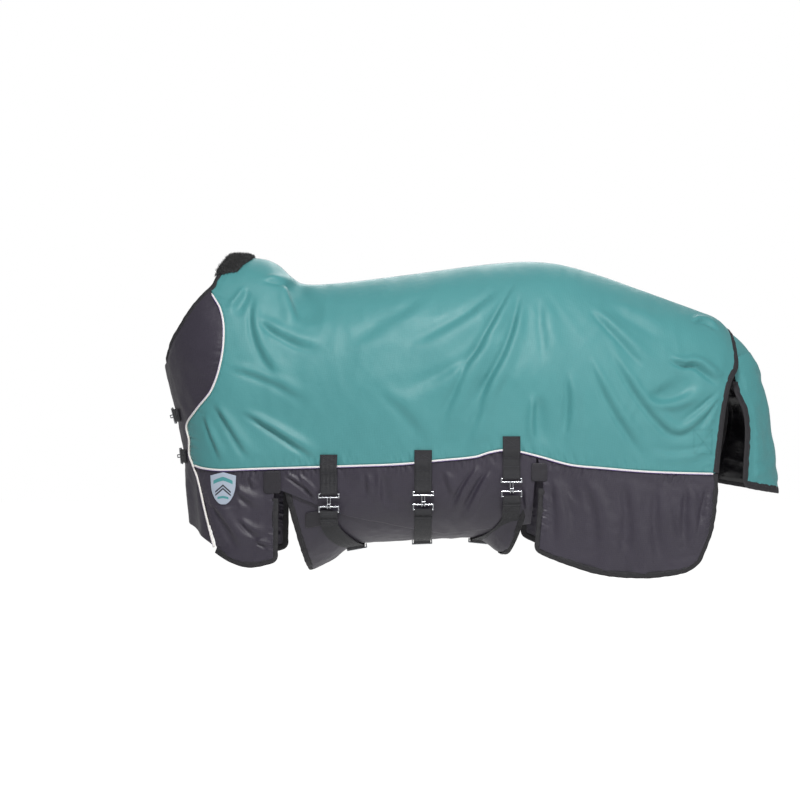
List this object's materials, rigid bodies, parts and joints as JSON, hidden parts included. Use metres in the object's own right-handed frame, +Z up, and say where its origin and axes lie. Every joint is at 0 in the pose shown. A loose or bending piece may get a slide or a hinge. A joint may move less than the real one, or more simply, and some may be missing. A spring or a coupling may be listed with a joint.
{
  "type": "turnout rug",
  "caption": "Horse turnout rug in its worn shape: ripstop body with skirts, belly wrap, hooked belly and chest straps, fleece wither pad and a hinged tail flap.",
  "frame": {"origin": "saddle point: the underside of the lining on the spine line, where the rug rests on the horse's back", "axes": "+X towards the tail, -Y the horse's near (left) side, +Z up"},
  "size_m": [1.8263, 0.6314, 0.9439],
  "materials": {
    "ripstop_teal": "coated ripstop, satin",
    "ripstop_black": "coated ripstop, satin",
    "wadding_white": "matt",
    "lining_nylon": "smooth nylon taffeta",
    "piping_reflective": "reflective",
    "binding_black": "ribbed tape",
    "fleece_black": "long pile",
    "crest_grey": "embroidered",
    "webbing_black": "woven",
    "steel_chrome": "nickel plated"
  },
  "bodies": {
    "rug": {"outer_shell": "ripstop_teal", "body_wadding": "wadding_white", "lining": "lining_nylon", "shoulder_panel_left": "ripstop_black", "shoulder_panel_right": "ripstop_black", "front_skirt_left": "ripstop_black", "front_skirt_right": "ripstop_black", "side_skirt_left": "ripstop_black", "side_skirt_right": "ripstop_black", "rear_skirt_left": "ripstop_black", "rear_skirt_right": "ripstop_black", "belly_wrap": "ripstop_black", "shoulder_piping_left": "piping_reflective", "shoulder_piping_right": "piping_reflective", "seam_piping_left": "piping_reflective", "seam_piping_right": "piping_reflective", "neck_binding": "binding_black", "wither_fleece": "fleece_black", "rear_binding": "binding_black", "front_hem_binding_left": "binding_black", "front_hem_binding_right": "binding_black", "rear_hem_binding_left": "binding_black", "rear_hem_binding_right": "binding_black", "wrap_front_binding": "binding_black", "wrap_rear_binding": "binding_black", "front_gusset_patches": "ripstop_black", "rear_gusset_patches": "ripstop_black", "crest_patch": "crest_grey", "tail_yoke": "ripstop_teal", "upper_strap_front": "webbing_black", "upper_strap_middle": "webbing_black", "upper_strap_rear": "webbing_black", "belly_strap_front": "webbing_black", "belly_strap_middle": "webbing_black", "belly_strap_rear": "webbing_black", "chest_strap_upper": "webbing_black", "chest_strap_lower": "webbing_black", "chest_tab_upper": "webbing_black", "chest_tab_lower": "webbing_black", "chest_under_flap": "ripstop_black", "leg_strap_tabs": "webbing_black"},
    "tail_flap": {"tail_flap": "ripstop_teal", "tail_flap_binding": "binding_black"},
    "strap_hook_front": {"strap_hook_front": "steel_chrome"},
    "strap_keeper_front": {"strap_keeper_front": "steel_chrome"},
    "strap_slider_front": {"strap_slider_front": "steel_chrome"},
    "strap_hook_middle": {"strap_hook_middle": "steel_chrome"},
    "strap_keeper_middle": {"strap_keeper_middle": "steel_chrome"},
    "strap_slider_middle": {"strap_slider_middle": "steel_chrome"},
    "strap_hook_rear": {"strap_hook_rear": "steel_chrome"},
    "strap_keeper_rear": {"strap_keeper_rear": "steel_chrome"},
    "strap_slider_rear": {"strap_slider_rear": "steel_chrome"},
    "chest_hook_upper": {"chest_hook_upper": "steel_chrome"},
    "chest_keeper_upper": {"chest_keeper_upper": "steel_chrome"},
    "chest_hook_lower": {"chest_hook_lower": "steel_chrome"},
    "chest_keeper_lower": {"chest_keeper_lower": "steel_chrome"},
    "leg_strap_ring_left": {"leg_strap_ring_left": "steel_chrome"},
    "leg_strap_ring_right": {"leg_strap_ring_right": "steel_chrome"}
  },
  "joints": [
    {"name": "tail_flap_lift", "type": "hinge", "parent": "rug", "child": "tail_flap", "pos_m": [1.044, 0, -0.211], "axis": [0, -1, 0], "range_deg": [0, 100]},
    {"name": "strap_hook_front_play", "type": "hinge", "parent": "rug", "child": "strap_hook_front", "pos_m": [-0.203, -0.27056, -0.63], "axis": [1, 0, 0], "range_deg": [-3, 3]},
    {"name": "strap_keeper_front_play", "type": "hinge", "parent": "rug", "child": "strap_keeper_front", "pos_m": [-0.203, -0.27806, -0.68], "axis": [1, 0, 0], "range_deg": [-4, 4]},
    {"name": "strap_slider_front_slide", "type": "slide", "parent": "rug", "child": "strap_slider_front", "axis": [0, 1, 0], "range_m": [-0.02, 0.02]},
    {"name": "strap_hook_middle_play", "type": "hinge", "parent": "rug", "child": "strap_hook_middle", "pos_m": [0.066, -0.2976, -0.622], "axis": [1, 0, 0], "range_deg": [-3, 3]},
    {"name": "strap_keeper_middle_play", "type": "hinge", "parent": "rug", "child": "strap_keeper_middle", "pos_m": [0.066, -0.3051, -0.672], "axis": [1, 0, 0], "range_deg": [-4, 4]},
    {"name": "strap_slider_middle_slide", "type": "slide", "parent": "rug", "child": "strap_slider_middle", "axis": [0, 1, 0], "range_m": [-0.02, 0.02]},
    {"name": "strap_hook_rear_play", "type": "hinge", "parent": "rug", "child": "strap_hook_rear", "pos_m": [0.316, -0.30805, -0.584], "axis": [1, 0, 0], "range_deg": [-3, 3]},
    {"name": "strap_keeper_rear_play", "type": "hinge", "parent": "rug", "child": "strap_keeper_rear", "pos_m": [0.316, -0.31555, -0.634], "axis": [1, 0, 0], "range_deg": [-4, 4]},
    {"name": "strap_slider_rear_slide", "type": "slide", "parent": "rug", "child": "strap_slider_rear", "axis": [0, 1, 0], "range_m": [-0.02, 0.02]},
    {"name": "chest_hook_upper_play", "type": "hinge", "parent": "rug", "child": "chest_hook_upper", "pos_m": [-0.67449, -0.02258, -0.4079], "axis": [-0.2429, 0, 0.9701], "range_deg": [-3, 3]},
    {"name": "chest_keeper_upper_play", "type": "hinge", "parent": "rug", "child": "chest_keeper_upper", "pos_m": [-0.68177, 0.02742, -0.40972], "axis": [-0.2429, 0, 0.9701], "range_deg": [-4, 4]},
    {"name": "chest_hook_lower_play", "type": "hinge", "parent": "rug", "child": "chest_hook_lower", "pos_m": [-0.65274, -0.02254, -0.52878], "axis": [-0.1002, 0, 0.995], "range_deg": [-3, 3]},
    {"name": "chest_keeper_lower_play", "type": "hinge", "parent": "rug", "child": "chest_keeper_lower", "pos_m": [-0.6602, 0.02746, -0.52953], "axis": [-0.1002, 0, 0.995], "range_deg": [-4, 4]},
    {"name": "leg_strap_ring_left_swing", "type": "hinge", "parent": "rug", "child": "leg_strap_ring_left", "pos_m": [0.8671, -0.21344, -0.515], "axis": [0.9588, 0.2842, 0], "range_deg": [0, 60]},
    {"name": "leg_strap_ring_right_swing", "type": "hinge", "parent": "rug", "child": "leg_strap_ring_right", "pos_m": [0.8671, 0.21344, -0.515], "axis": [-0.9588, 0.2842, 0], "range_deg": [0, 60]}
  ]
}
